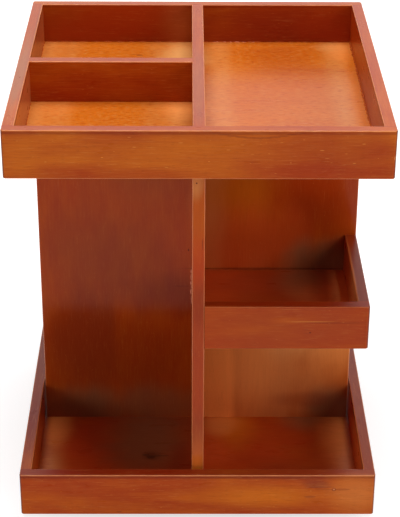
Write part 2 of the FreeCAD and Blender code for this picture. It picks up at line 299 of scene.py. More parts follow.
def fibres(finish, place):
    """Fine streaks along the board, from coarse to hair thin."""
    coarse = finish.noise(place, (0.03, 0.8, 0.8), detail=3.0, roughness=0.6, distortion=0.3)
    fine = finish.noise(place, (0.08, 4.0, 4.0), detail=2.0, roughness=0.6)
    return coarse * 0.6 + fine * 0.4


def dashes(finish, place, length, width, kept):
    """Short dashes along the fibres: the share that is kept of a field of long cells."""
    stretch = (1 / length, 1 / width, 1 / width)
    cells = {"Vector": finish.stretched(place, stretch), "Scale": 1.0, "Randomness": 1.0}
    near = finish.node("TexVoronoi", {}, cells, out="Distance")
    lot = finish.split(near.also("Color"))[0]
    return (1 - finish.smooth(near, 0.12, 0.3)) * (1 - finish.smooth(lot, kept - 0.02, kept))


print("growth rings about", ring_width, "mm apart")


# %% All patterns of one board
def wood_patterns(finish, place):
    """What the wood itself gives, each from 0 to 1, and the place that it was worked out at."""
    return SimpleNamespace(
        place=place,
        clouds=finish.noise(place, (0.011, 0.03, 0.03), detail=3.0, roughness=0.55,
                            distortion=0.4),
        soak=finish.noise(place, (0.04, 0.12, 0.12), detail=3.0),
        fibre=fibres(finish, place),
        rings=growth_rings(finish, place),
        pores=dashes(finish, place, length=5.0, width=0.42, kept=0.34),
        flecks=dashes(finish, place, length=3.2, width=0.5, kept=0.03),
        strokes=finish.noise(place, (0.09, 1.3, 1.3), detail=3.0, roughness=0.7),
    )


print("a board's patterns: clouds, soak, fibre, rings, pores, flecks and strokes")

# %% [markdown]
# ## Patches and marks
# The stain on the real one is uneven. It was sprayed on, so it lies deeper in the middle of
# a board and thinner in the inner corners, and here and there a stretch is redder or more
# orange than the rest. A patch is an ellipsoid with a soft edge, placed in the organizer's
# own millimetres, and the clouds of the wood fray it. A mark is the same with a crisp edge:
# a pale fleck, a small knot or a scratch. Painted vertices could do this too, but a board has
# few of them, and a shape that is worked out in the shader is sharp at any distance.

# %% Stains
# Several stains also stand for light and shade where they are used; names ending in _and_light or
# _and_shade say which.
stain_deep = colour(110, 30, 10)
stain_red = colour(160, 50, 9)
stain_orange = colour(206, 106, 18)
stain_thin = colour(232, 154, 74)
stain_straw = colour(212, 142, 78)
brown_stain_and_light = colour(216, 130, 70)
stain_plum = colour(132, 58, 30)
stain_rust = colour(130, 44, 16)
# painted shade: a brown for the shaded upper part of the left bay
umber_shade = colour(150, 72, 26)
# painted shade: a brown laid where the side rails and the shelf cast shadows in the corners of the
# bays and on the floors
painted_shade_brown = colour(134, 86, 54)
stain_cherry = colour(184, 56, 16)
copper_stain_and_light = colour(200, 78, 30)
pale_stain_and_light = colour(242, 182, 112)
wine_stain_and_shade = colour(128, 24, 4)
garnet_stain_and_shade = colour(130, 31, 9)
amber_stain_and_light = colour(252, 150, 74)
# painted shade and sheen: a grey that tints the shadowed corners of the bays, and the top rims
# where the lacquer reflects the white studio
grey_shade_and_sheen = colour(168, 120, 88)
coral_light = colour(240, 124, 52)
clay_light = colour(176, 94, 54)
bare_edge_and_highlight = colour(236, 158, 104)
pore_dark = colour(72, 18, 5)
knot_black = colour(34, 16, 8)
end_grain_stain = colour(92, 36, 16)
print("the deepest stain:", [round(v, 3) for v in stain_deep])


# %% Patches
def patch(stain, centre, reach, strength, hides=0.0, crisp=False):
    """A stain round a centre. hides is how far it covers the figure of the wood."""
    return {"stain": stain, "centre": centre, "reach": reach, "strength": strength,
            "crisp": crisp, "hides": hides}


def mark(stain, centre, reach, strength):
    return patch(stain, centre, reach, strength, crisp=True)


def covered(finish, site, clouds, spot):
    """1 in the middle of a patch or mark and 0 outside it."""
    away = finish.node("VectorMath", {"operation": "SUBTRACT"}, {0: site, 1: spot["centre"]})
    distance = finish.length(finish.stretched(away, tuple(1 / r for r in spot["reach"])))
    if spot["crisp"]:
        return 1 - finish.smooth(distance, 0.6, 1.0)
    return 1 - finish.smooth(distance + (clouds - 0.5), 0.2, 1.05)


def patched(finish, body, wood, site, spots, grain):
    """The colour with all patches and marks on it, and how plain the figure still shows."""
    for spot in spots:
        share = covered(finish, site, wood.clouds, spot) * spot["strength"]
        body = finish.mix(body, spot["stain"], share)
        if spot["hides"]:
            grain = grain * (1 - share * spot["hides"])
    return body, grain


print("a mark:", mark("stain", (0, 0, 0), (5, 2, 1), 0.5))

# %% [markdown]
# ## The coats of one board
# The workshop works in layers, and so does the finish: first the sprayed stain, then the
# places where it came out redder or thinner, among which are patches of painted shade and
# light, then the wood's figure that shows through, and last the wear and a painted highlight
# on the edges, and the end grain. One long expression would give the same picture. As a
# function for each layer it can be read, and one layer can be switched off to see what it
# does. Every layer takes the colour so far and gives back the next one.

# %% The sprayed stain
band_width, band_fray = 14.0, 14.0


def sprayed_stain(finish, wood, site, warmth, mottle, grain, dapple, bands):
    """Red where the stain is deep, orange where it is thin, and straw in bands and drops."""
    tone = (warmth + (wood.clouds - 0.5) * mottle + (wood.soak - 0.5) * 0.35
            + (wood.fibre - 0.5) * 0.5 * grain)
    body = finish.mix(stain_red, stain_orange, finish.smooth(tone, 0.0, 1.0))
    from_left = finish.split(site)[0] + (wood.strokes - 0.5) * band_fray
    for band_x, strength in bands:
        band = 1 - finish.smooth(abs(from_left - band_x), 0.0, band_width)
        thinned = 0.15 + wood.clouds * 0.4 + wood.strokes * 0.5
        body = finish.mix(body, stain_straw, band * thinned * strength)
    if dapple:
        drops = finish.noise(wood.place, (0.2, 0.55, 0.55), detail=3.0, roughness=0.65)
        body = finish.mix(body, stain_straw, finish.smooth(drops, 0.48, 0.72) * dapple)
        body = finish.mix(body, stain_red, (1 - finish.smooth(drops, 0.3, 0.5)) * dapple)
    return body


print("thin bands", band_width, "mm to each side")


# %% The figure of the wood
ring_share, fibre_share, dark_stroke_share = 0.06, 0.14, 0.22
pore_share, fleck_share, pale_stroke_share = 0.3, 0.5, 0.3


def figured(finish, body, wood, grain):
    """Rings and deep fibres, dark strokes, pores, pale flecks and pale strokes, in turn."""
    deep_fibre = finish.smooth(wood.fibre, 0.55, 0.8)
    dark_stroke = 1 - finish.smooth(wood.strokes, 0.25, 0.47)
    pale_stroke = finish.smooth(wood.strokes, 0.52, 0.8)
    shade = (wood.rings * ring_share + deep_fibre * fibre_share) * grain
    body = finish.mix(body, stain_deep, shade)
    body = finish.mix(body, stain_deep, dark_stroke * dark_stroke_share * grain)
    body = finish.mix(body, pore_dark, wood.pores * pore_share * grain)
    body = finish.mix(body, stain_thin, wood.flecks * fleck_share * grain)
    return finish.mix(body, stain_straw, pale_stroke * pale_stroke_share * grain)


print("a pore takes", pore_share, "of the stain's place and a fleck", fleck_share)


# %% Rubbed edges with a painted highlight, and end grain
end_share = 0.7


def rubbed_highlit_and_cut(finish, body, wood, facing, along, worn_and_highlit):
    """Pale wood where an edge is rounded, rubbed stain with a painted highlight on upward edges,
    and dark end grain where the fibres are cut.
    """
    along_part = finish.node("VectorMath", {"operation": "DOT_PRODUCT"},
                             {0: facing, 1: along}, out="Value")
    end = finish.smooth(abs(along_part), 0.3, 0.8)
    parts = [abs(part) for part in finish.split(facing)]
    flatness = parts[0].most(parts[1]).most(parts[2])
    rubbed_and_highlit = (1 - finish.smooth(flatness, 0.9, 0.995)) * (1 - end)
    # on boards that lie, only edges that face upwards, towards the lamps, get the pale edge:
    # partly rubbed stain, partly painted highlight
    if along != UP:
        rubbed_and_highlit = rubbed_and_highlit * finish.smooth(parts[2], 0.05, 0.25)
    edge_patchiness = finish.noise(wood.place, (0.12, 0.3, 0.3), detail=3.0, roughness=0.7)
    body = finish.mix(body, bare_edge_and_highlight, rubbed_and_highlit * (0.3 + edge_patchiness * 0.8) * worn_and_highlit)

    speckle = finish.noise(wood.place, (4.0, 4.0, 4.0), detail=1.0)
    end_tint = finish.mix(end_grain_stain, pore_dark, finish.smooth(speckle, 0.45, 0.75) * 0.5)
    return finish.mix(body, end_tint, end * end_share)


print("end grain takes", end_share, "of the stain's place")


# %% The whole finish for one board
lacquer_ior = 1.2  # a satin lacquer mirrors little of the white studio
lacquer_roughness, lacquer_share = 0.28, 0.37


def stained_wood(name, along, through, heart, warmth=0.5, mottle=0.9, grain=1.0, dullness=0.29,
                 dapple=0.0, worn_and_highlit=0.75, spots=(), bands=()):
    """Stained, lacquered wood.

    warmth goes from red, 0, to orange, 1, mottle is how far the clouds change it, grain is
    how plain the figure shows, dullness is the roughness of the lacquer, and dapple is how
    many small thin places the stain has. worn_and_highlit is how far the edges are rubbed and
    carry a painted highlight, spots are patches and marks, some of them painted light and
    shade, and bands lists (x, strength): near that x the sprayed stain is thin.
    """
    finish = Finish(bpy.data.materials.new(name))
    wood = wood_patterns(finish, board_axes(finish, along, through, heart))
    site = finish.stretched(finish.object_place(), (1 / MM,) * 3)
    facing = finish.node("TexCoord", out="Normal")

    body = sprayed_stain(finish, wood, site, warmth, mottle, grain, dapple, bands)
    body, shown = patched(finish, body, wood, site, spots, grain)
    body = figured(finish, body, wood, shown)
    body = rubbed_highlit_and_cut(finish, body, wood, facing, along, worn_and_highlit)

    lying = finish.smooth(finish.split(facing)[2], 0.7, 0.95)
    peel = finish.noise(wood.place, (0.5, 0.5, 0.5), detail=1.0)
    relief = wood.fibre * 0.5 - wood.pores * 0.8 + wood.rings * 0.1
    return finish.done(
        Base_Color=body,
        Roughness=dullness + (wood.soak - 0.5) * 0.10 + wood.pores * 0.15,
        IOR=lacquer_ior,
        Coat_Weight=lying * lacquer_share,
        Coat_Roughness=lacquer_roughness,
        Normal=finish.bumped(relief + peel * 1.2, strength=0.10, depth=0.12),
    )


print("lacquer with an index of refraction of", lacquer_ior)

# %% [markdown]
# ## Dressing the boards
# Each board keeps its own mesh and only gets its material, by assigning to its slots. The
# rails of the trays run round the tray, the core's boards stand upright, and the floors'
# face grain runs from left to right. The heart of the log is a different place for each
# board, worked out from its number, so no two figures are alike.

# %% Put a material on a board
def dress(node, material):
    """Gives a board its one material and leaves its mesh as it is."""
    mesh = nodes[node].data
    mesh.materials.clear()
    mesh.materials.append(material)


along_step, nearest_heart, through_step, across_step = 137.0, 14.0, 7.0, 9.0


def heart_of(number):
    """A place for the log's heart, different for each board: along, through, across."""
    through = nearest_heart + through_step * (number % 5)
    across = across_step * ((number * 3) % 7 - 3)
    return (along_step * number, through, across)


print("the first board's heart is at", heart_of(1))


# %% Where faces and rims lie
def middle_of(node):
    """The middle of a board's box, in millimetres."""
    low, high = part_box(node)
    return (Vector(low) + Vector(high)) / 2 / MM


def front_of(node):
    """The y of a board's front face, in millimetres."""
    return round(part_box(node)[0][1] / MM, 2)


def top_of(node):
    """The z of a board's upper face or rim, in millimetres."""
    return round(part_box(node)[1][2] / MM, 2)


tray_front, inner_wall = front_of("top_tray_front_rail"), front_of("top_tray_back_rail")
core_front, panel_front = front_of("front_partition"), front_of("cross_panel")
top_rim, bottom_rim = top_of("top_tray_front_rail"), top_of("bottom_tray_front_rail")
shelf_rim, shelf_face = top_of("front_shelf_face_rail"), top_of("front_shelf_floor")
top_face, bottom_face = top_of("top_tray_floor"), top_of("bottom_tray_floor")
print("rims at", top_rim, shelf_rim, bottom_rim, "mm")
print("floors at", top_face, shelf_face, bottom_face, "mm")

# %% [markdown]
# ## What the front boards show
# On the front rails the photograph shows single pale flecks, a bowed line of late wood, and
# a small knot with a branching figure, and each of these is a mark or two. The core boards
# are redder in the middle, with painted shade in the deep corners where the side rails cast
# shadows, and painted light lower down on the right.
# Noise alone would put such patches in other places, so each is set one by one, with its x
# and z on the board's face.

# %% The marks on the front rails
def at_front(y):
    """Short names for patches and marks on a board whose face is at y."""
    def soft(stain, x, z, wide, high, strength):
        return patch(stain, (x, y, z), (wide, 6.0, high), strength)

    def crisp(stain, x, z, wide, high, strength):
        return mark(stain, (x, y, z), (wide, 2.0, high), strength)

    return soft, crisp


spots = {node: [] for node in nodes}
soft, crisp = at_front(tray_front)
fleck_places = ((-44.0, 299.5, 1.4, 0.56), (-40.9, 292.7, 1.6, 0.63), (18.4, 290.9, 1.6, 0.62),
                (44.2, 288.3, 0.6, 0.46), (77.7, 290.6, 1.8, 0.53), (81.1, 285.1, 1.8, 0.34),
                (93.0, 288.3, 1.2, 0.39), (98.4, 281.8, 1.3, 0.50), (113.4, 285.3, 0.6, 0.38),
                (-97.2, 282.4, 1.0, 0.62), (27.2, 294.3, 1.6, 0.36), (33.7, 287.9, 1.6, 0.35),
                (52.1, 295.9, 1.4, 0.34), (58.1, 282.0, 0.6, 0.60), (66.0, 297.9, 0.9, 0.38),
                (-11.6, 295.7, 1.9, 0.61), (-61.4, 285.5, 1.0, 0.64),
                (-20.5, 278.7, 1.3, 0.54), (6.3, 282.8, 0.9, 0.63), (103.9, 295.1, 1.5, 0.64))
spots["top_tray_front_rail"] = [
    soft(stain_red, 84, 275, 74, 10, 0.75),
    soft(stain_red, -87, 275, 40, 9, 0.5),
    soft(garnet_stain_and_shade, 94, 291, 50, 20, 0.25),
    soft(stain_red, -39, 273, 70, 8, 0.6),
    soft(stain_red, 116, 287, 20, 22, 0.5),
    soft(stain_red, 84, 289, 60, 20, 0.4),
    soft(stain_orange, 0, 291, 50, 12, 0.4),
    soft(stain_orange, -111, 284, 16, 18, 0.4),
    crisp(bare_edge_and_highlight, 124.4, 285.2, 1.0, 2.0, 0.7),
]
spots["top_tray_front_rail"] += [crisp(stain_thin, x, z, half_length, 0.25, strength)
                                 for x, z, half_length, strength in fleck_places]
bow_start, bow_width, bow_height, bow_steps = 5, 64, 4.6, 12
for step in range(bow_steps + 1):
    share = step / bow_steps
    x = bow_start + bow_width * share
    z = top_rim - 0.3 - bow_height * math.sin(share * math.pi)
    spots["top_tray_front_rail"].append(crisp(stain_deep, x, z, 4.6, 0.6, 0.4))
spots["bottom_tray_front_rail"] = [
    soft(stain_red, -78, 31, 60, 14, 0.5),
    # painted shade: the wine patches darken the bottom tray's front rim under the top tray
    patch(wine_stain_and_shade, (-50, -121, bottom_rim), (90, 5, 3), 0.7),
    patch(wine_stain_and_shade, (70, -121, bottom_rim), (50, 5, 3), 0.35),
    soft(stain_red, 1, 15, 40, 8, 0.4),
    soft(stain_red, -27, 33, 56, 12, 0.45),
    soft(stain_orange, 46, 24, 60, 12, 0.8),
    soft(stain_orange, 110, 26, 30, 22, 0.55),
    soft(brown_stain_and_light, 112, 26, 26, 22, 0.35),
    soft(stain_plum, 84, 35, 12, 5, 0.6),
    crisp(stain_plum, 86.3, 32.1, 13, 0.9, 0.5),
    crisp(stain_deep, 90.2, 30.1, 9, 0.8, 0.3),
    crisp(stain_plum, 79.4, 23.7, 5, 1.2, 0.45),
    crisp(stain_deep, 102.1, 30.1, 7, 1.1, 0.35),
    crisp(stain_deep, 96.1, 29.9, 1.9, 1.6, 0.6),
    crisp(bare_edge_and_highlight, 96.1, 30.0, 0.9, 0.8, 0.6),
    crisp(stain_deep, -55.5, 10.7, 2.4, 0.7, 0.5),
]
for node in ("top_tray_front_rail", "bottom_tray_front_rail"):
    print(node, "has", len(spots[node]), "patches and marks")

# %% The marks on the front shelf and partition
soft, crisp = at_front(core_front)
spots["front_shelf_face_rail"] = [
    soft(stain_plum, 60, 156, 90, 30, 0.3),
    soft(stain_orange, 60, 160, 20, 5, 0.25),
    crisp(stain_thin, 76.1, 159.0, 20, 0.5, 0.25),
    crisp(stain_deep, 92.0, 158.1, 26, 0.7, 0.4),
    crisp(stain_deep, 75.9, 150.6, 0.9, 0.75, 0.9),
    crisp(stain_plum, 73.2, 152.8, 2.2, 0.5, 0.4),
    crisp(stain_plum, 74.2, 149.8, 3.4, 0.4, 0.4),
    crisp(stain_thin, 62.2, 168.4, 9, 0.4, 0.15),
    patch(wine_stain_and_shade, (60, -108.6, shelf_rim), (90, 6, 3), 0.7),
]
spots["front_shelf_side_rail"] = [patch(stain_rust, (111.7, -60, shelf_rim), (20, 120, 5), 0.9),
                                  patch(brown_stain_and_light, (107.6, -60, 153), (2.5, 90, 44), 0.85)]
spots["front_partition"] = [
    soft(stain_cherry, 1, 120, 20, 130, 0.5),
    soft(stain_plum, 1, 110, 20, 120, 0.4),
    soft(stain_plum, 1, 59, 20, 36, 0.5),
    soft(stain_orange, 0, 235, 10, 40, 0.3),
    soft(stain_straw, -2, 263, 8, 16, 0.5),
    # painted light: the orange and coral patches brighten the partition's foot, which lies in the
    # bottom rail's shadow
    soft(stain_orange, 1, 21, 12, 34, 0.9),
    soft(coral_light, 0, 24, 12, 56, 0.45),
    soft(stain_cherry, 0, 205, 12, 26, 0.4),
    soft(stain_rust, 1, 172, 12, 24, 0.5),
    crisp(pore_dark, -1.4, 261.9, 0.7, 0.7, 0.9),
    crisp(stain_deep, 2.6, 217.3, 0.5, 5.0, 0.5),
]
print("front_partition has", len(spots["front_partition"]), "patches and marks")

# %% The marks inside the top tray
# Painted light and shade inside the top tray: the red patch on the back rail and the garnet one at
# the cross divider's left end are painted shade where the right lamp lights these faces, and the
# orange, brown and cherry patches near the long divider and at the right end are painted light.
soft, crisp = at_front(middle_of("top_tray_cross_divider").y)
spots["top_tray_cross_divider"] = [
    soft(stain_orange, -10, 289, 36, 26, 0.5),
    soft(garnet_stain_and_shade, -109, 282, 28, 20, 0.65),
]
# the grey on the rims of the left rail and the long divider is painted sheen
left_rim = -121.6  # a little outwards from the middle of the rim
spots["top_tray_left_rail"] = [patch(stain_deep, (-inner_wall, 66, 290), (3, 60, 36), 0.4),
                               patch(grey_shade_and_sheen, (left_rim, -30, top_rim), (5, 110, 3), 0.5)]
spots["top_tray_long_divider"] = [patch(grey_shade_and_sheen, (0, -50, top_rim), (6, 110, 3), 0.25)]
# painted shade: the wine patch darkens the bottom tray's left rim under the top tray
spots["bottom_tray_left_rail"] = [patch(wine_stain_and_shade, (left_rim, -60, bottom_rim), (5, 70, 3), 0.6)]
soft, crisp = at_front(inner_wall)
spots["top_tray_back_rail"] = [
    soft(stain_red, -64, 289, 80, 44, 0.7),
    soft(stain_cherry, 108, 283, 34, 30, 0.25),
    soft(brown_stain_and_light, -12, 286, 22, 30, 0.2),
]
print("top_tray_back_rail has", len(spots["top_tray_back_rail"]), "patches")

# %% The marks on the cross panel
soft, crisp = at_front(panel_front)
# Painted light and shade on the cross panel: the deep and umber patches in the left bay are
# painted shade, and the plum one there is a painted reflection of the bright floor in front. The
# soot and grey patches are painted shadows of the side rails in the corners, the red and deep
# patches high on the right are painted shade under the top tray, and the copper, brown, pale and
# amber patches on the right, in the shelf bay and below it, are painted light.
spots["cross_panel"] = [
    soft(stain_deep, -54, 71, 90, 50, 0.4),
    soft(stain_deep, -23, 120, 44, 26, 0.5),
    soft(wine_stain_and_shade, -99, 90, 44, 34, 0.5),
    soft(stain_rust, -95, 76, 50, 60, 0.8),
    soft(painted_shade_brown, -93, 21, 60, 26, 0.85),
    soft(painted_shade_brown, -29, 23, 60, 24, 0.5),
    soft(umber_shade, -36, 234, 60, 60, 0.55),
    soft(stain_plum, -61, 150, 70, 60, 0.45),
    soft(stain_orange, 34, 198, 26, 56, 0.6),
    soft(stain_red, 90, 205, 44, 60, 0.9),
    soft(stain_deep, 86, 190, 34, 26, 0.35),
    soft(copper_stain_and_light, 30, 166, 70, 44, 0.8),
    soft(brown_stain_and_light, 8, 190, 20, 90, 0.5),
    soft(stain_orange, 14, 206, 20, 26, 0.3),
    soft(painted_shade_brown, 100, 149, 42, 26, 1.0),
    soft(grey_shade_and_sheen, 108, 145, 20, 20, 0.8),
    soft(brown_stain_and_light, 56, 61, 64, 90, 0.75),
    soft(brown_stain_and_light, 98, 101, 36, 50, 0.8),
    soft(pale_stain_and_light, 80, 97, 40, 40, 0.43),
    soft(amber_stain_and_light, 104, 85, 30, 60, 0.45),
    soft(painted_shade_brown, 105, 21, 28, 24, 0.9),
    soft(grey_shade_and_sheen, 114, 20, 14, 16, 0.6),
    soft(wine_stain_and_shade, 84, 28, 34, 9, 0.35),
    crisp(amber_stain_and_light, 13.6, 31.5, 19, 110, 0.7),
    crisp(pore_dark, 50, 142.0, 70, 1.2, 0.5),
    crisp(pore_dark, -6.6, 157.4, 0.6, 1.2, 0.8),
    crisp(stain_deep, -11.4, 127.3, 8, 0.5, 0.5),
    soft(amber_stain_and_light, 38, 45, 26, 70, 0.35),
]
print("cross_panel has", len(spots["cross_panel"]), "patches and marks")

# %% [markdown]
# ## What the floors show
# The floors are thin plywood with a lively, orange face. The stain is deep in the middle and
# pale near the walls, painted shade darkens them in the corners that lie in shadow, and the
# bottom floor has a dark knot. A gradient from left to right would be simpler, but these places
# are single ones, so they are patches again, now with x and y on the floor's upper face.

# %% The marks on the floors
def on_floor(z):
    """A short name for a patch on a floor whose upper face is at z."""
    def soft(stain, x, y, wide, deep, strength):
        return patch(stain, (x, y, z), (wide, deep, 5.0), strength)
    return soft


soft = on_floor(bottom_face)
# the soot patches on this floor are painted shade
spots["bottom_tray_floor"] = [
    soft(stain_cherry, -83, -49, 36, 60, 0.7),
    soft(painted_shade_brown, -35, -38, 50, 60, 0.8),
    soft(amber_stain_and_light, -108, -19, 17, 36, 0.42),
    soft(stain_cherry, 41, -58, 70, 70, 0.7),
    soft(stain_orange, 27, -22, 26, 36, 0.7),
    soft(amber_stain_and_light, 19, -14, 20, 22, 0.3),
    soft(stain_rust, 61, -88, 46, 34, 0.6),
    soft(stain_rust, -13, -82, 12, 60, 0.5),
    soft(copper_stain_and_light, 11, -48, 20, 40, 0.65),
    soft(stain_straw, 17, -18, 16, 22, 0.3),
    soft(painted_shade_brown, 84, -7, 26, 24, 0.6),
    soft(brown_stain_and_light, 106, -21, 16, 50, 0.25),
    soft(amber_stain_and_light, 104, -27, 18, 60, 0.35),
    soft(pore_dark, -34, -57, 9, 8, 0.45),
    mark(knot_black, (-34.5, -58.8, bottom_face), (4.0, 2.8, 2.0), 0.5),
    mark(knot_black, (-38.4, -56.0, bottom_face), (3.4, 1.6, 2.0), 0.4),
    mark(knot_black, (-26.9, -57.0, bottom_face), (7.0, 1.2, 2.0), 0.3),
]
soft = on_floor(shelf_face)
# the soot patch is painted shadow of the shelf's side rail
spots["front_shelf_floor"] = [
    soft(copper_stain_and_light, 14, -37, 44, 60, 0.6),
    soft(brown_stain_and_light, 100, -41, 40, 60, 0.75),
    soft(pale_stain_and_light, 110, -47, 20, 70, 0.3),
    soft(stain_plum, 46, -51, 36, 60, 0.3),
    soft(painted_shade_brown, 80, -15, 30, 28, 0.75),
]
soft = on_floor(top_face)
spots["top_tray_floor"] = [
    soft(stain_red, 60, 73, 44, 50, 0.35),
    soft(stain_cherry, 56, -18, 70, 70, 0.16),
    soft(stain_straw, 104, 105, 18, 15, 0.5),
    soft(stain_cherry, 62, 20, 60, 34, 0.14),
    soft(amber_stain_and_light, 109, 95, 16, 30, 0.4),
    soft(stain_orange, 115, 10, 7, 120, 0.6),
    soft(amber_stain_and_light, -11, -14, 24, 24, 0.5),
    soft(amber_stain_and_light, -97, -20, 16, 24, 0.2),
    soft(pale_stain_and_light, -8, 88, 26, 42, 0.6),
    soft(pale_stain_and_light, -8, -24, 20, 28, 0.15),
    mark(stain_deep, (-43.5, 88.3, top_face), (3.0, 1.4, 2.0), 0.6),
    mark(stain_deep, (-47.4, 90.1, top_face), (4.0, 1.0, 2.0), 0.3),
]
print(sum(len(marks) for marks in spots.values()), "patches and marks in all")

# %% [markdown]
# ## The rails and dividers of the trays
# The inner faces of the trays are darker than the outer ones, partly from deeper stain and
# partly from painted shade inside the trays, and on two rails the lining paints light instead.
# So each rail gets one flat patch, its lining, that reaches just under its inner face. Stain
# also stayed on the top tray's rims, while on the bottom tray's rims the same patch is painted
# shade under the top tray, and a thin dark line under each rim is painted shade of its rounded
# edge. A material of its own for each face could do this, but it would end in a hard line at
# the rounded edges, where a patch fades.

# %% Tray rails and dividers
inward = {"front": BACK, "back": -BACK, "left": RIGHT, "right": -RIGHT}
# Most linings are partly painted shade; clay and copper paint light on two inner faces instead,
# and garnet deepens the painted shade on the back rail.
inside_tones = {"top_tray_back_rail": garnet_stain_and_shade, "top_tray_left_rail": clay_light,
                 "bottom_tray_right_rail": copper_stain_and_light}
lining_offset = 4.8  # inwards from the middle of a rail
lining_long, lining_thick, lining_tall = 420, 3.6, 90
rim_reach = (400, 400, 5.0)
shade_line_drop, shade_line_reach = 1.9, (400, 400, 1.1)  # painted shade: a thin dark line under a rim, where its rounded edge turns from the light
board_number = 0
# On the top tray the rim patch is stain; on the bottom tray it is painted shade under the top
# tray.
for tray, warmth, rim_tone, rim_share in (
    ("top", 0.55, stain_red, 0.5),
    ("bottom", 0.38, stain_rust, 0.8),
):
    for side, inwards in inward.items():
        board_number += 1
        node = f"{tray}_tray_{side}_rail"
        along = RIGHT if side in ("front", "back") else BACK
        through = BACK if side in ("front", "back") else RIGHT
        inner_face = middle_of(node) + inwards * lining_offset
        reach = along * lining_long + through * lining_thick + UP * lining_tall
        inside_tone = inside_tones.get(node, stain_red)
        inside_stain_and_shade = patch(inside_tone, tuple(inner_face), tuple(reach), 0.85, hides=0.45)
        top = top_of(node)
        rim = patch(rim_tone, (0, 0, top), rim_reach, rim_share)
        shade_line = mark(stain_deep, (0, 0, top - shade_line_drop), shade_line_reach, 0.4)
        dress(node, stained_wood(node, along, through, heart_of(board_number), warmth,
                                 spots=[inside_stain_and_shade, rim, shade_line] + spots[node]))
for node, along, through in (
    ("top_tray_long_divider", BACK, RIGHT),
    ("top_tray_cross_divider", RIGHT, BACK),
):
    board_number += 1
    dress(node, stained_wood(node, along, through, heart_of(board_number), 0.25,
                             spots=spots[node]))
print(board_number, "rails and dividers dressed")

# %% [markdown]
# ## The core and the shelf trays
# The core's boards stand upright, and so do their fibres. Their figure is the plainest here
# and their lacquer the smoothest. One finish could be shared by all of them. Each has its
# own instead, so that the rear half, which is the front half turned round, isn't a copy of
# it. The small shelf trays are as red as the core, with a weak figure.

# %% Core boards and shelf trays
for node, through in (
    ("cross_panel", BACK),
    ("front_partition", RIGHT),
    ("rear_partition", RIGHT),
):
    board_number += 1
    dress(node, stained_wood(node, UP, through, heart_of(board_number), 0.27, mottle=0.28,
                             grain=0.45, dullness=0.13, worn_and_highlit=0.5, spots=spots[node]))
for end in ("front", "rear"):
    for piece, along, through in (("face_rail", RIGHT, BACK), ("side_rail", BACK, RIGHT)):
        board_number += 1
        node = f"{end}_shelf_{piece}"
        dress(node, stained_wood(node, along, through, heart_of(board_number), 0.22,
                                 mottle=0.35, grain=0.6, worn_and_highlit=0.25, spots=spots[node]))
print(board_number, "boards dressed so far")

# %% [markdown]
# ## The floors
# Along the walls, which kept the spray off, the floors' stain is thin in bands, and the top
# floor has many small thin drops. A band depends on x alone, and the strokes of the wood
# fray it, so it costs far fewer nodes than a row of patches would.

# %% Floors
thin_bands = {
    "top_tray_floor": ((-112, 0.8), (-96, 0.5), (-30, 0.4), (-14, 0.75), (17, 0.7), (102, 0.7)),
    "bottom_tray_floor": ((-106, 0.7), (110, 0.6)),
}
for node in ("top_tray_floor", "bottom_tray_floor", "front_shelf_floor", "rear_shelf_floor"):
    board_number += 1
    warmth, grain, dapple = (0.85, 0.5, 0.5) if node == "top_tray_floor" else (0.2, 0.6, 0.0)
    dress(node, stained_wood(node, RIGHT, UP, heart_of(board_number), warmth, grain=grain,
                             dapple=dapple, spots=spots[node], bands=thin_bands.get(node, ())))
print(board_number, "boards dressed")

# %% [markdown]
# ## The turntable's metal, plastic and rubber
# Under the bottom tray two pressed steel plates run on a ring of balls. They show from
# below and through the gap. Zinc plating is a blue-grey metal with fine spin marks round
# the axis from the press, screws are yellow zinc, the balls are polished, and the cage and
# washer are milky nylon. They could share one finish with many settings. Two are easier to
# follow: one for what is metal and one for what isn't.

# %% Metals
skin_depth = 0.05
spin_marks = 3.0  # for each millimetre outwards


def plated_steel(name, tint, roughness):
    """Zinc plated steel with fine marks round the turntable's axis and cloudy patches."""
    finish = Finish(bpy.data.materials.new(name))
    place = finish.object_place()
    radius = finish.length(finish.stretched(place, (1 / MM, 1 / MM, 0.0)))
    across = finish.node("CombineXYZ", {}, {0: radius * spin_marks})
    marks = finish.noise(across, (1.0, 1.0, 1.0), detail=4.0, roughness=0.7)
    clouds = finish.noise(place, (60.0, 60.0, 60.0), detail=3.0)
    return finish.done(
        Base_Color=finish.tinted(tint, 0.82 + marks * 0.2 + clouds * 0.16),
        Metallic=1.0,
        Normal=finish.bumped(marks, strength=0.15, depth=skin_depth),
        Roughness=roughness + (clouds - 0.5) * 0.2,
    )


zinc = colour(176, 180, 186)
yellow_zinc = colour(196, 172, 110)
polished_steel = colour(200, 202, 206)
bare_steel = colour(160, 160, 162)
for node, tint, roughness in (
    ("turntable_upper_plate", zinc, 0.32),
    ("turntable_lower_plate", zinc, 0.32),
    ("centre_rivet", zinc, 0.25),
    ("bearing_balls", polished_steel, 0.08),
    ("bottom_core_screws", yellow_zinc, 0.3),
    ("top_core_screws", yellow_zinc, 0.3),
    ("turntable_screws", yellow_zinc, 0.3),
    ("top_tray_brads", bare_steel, 0.35),
    ("bottom_tray_brads", bare_steel, 0.35),
    ("front_shelf_brads", bare_steel, 0.35),
    ("rear_shelf_brads", bare_steel, 0.35),
):
    dress(node, plated_steel(node, tint, roughness))
    print(node, "in metal with a roughness of", roughness)


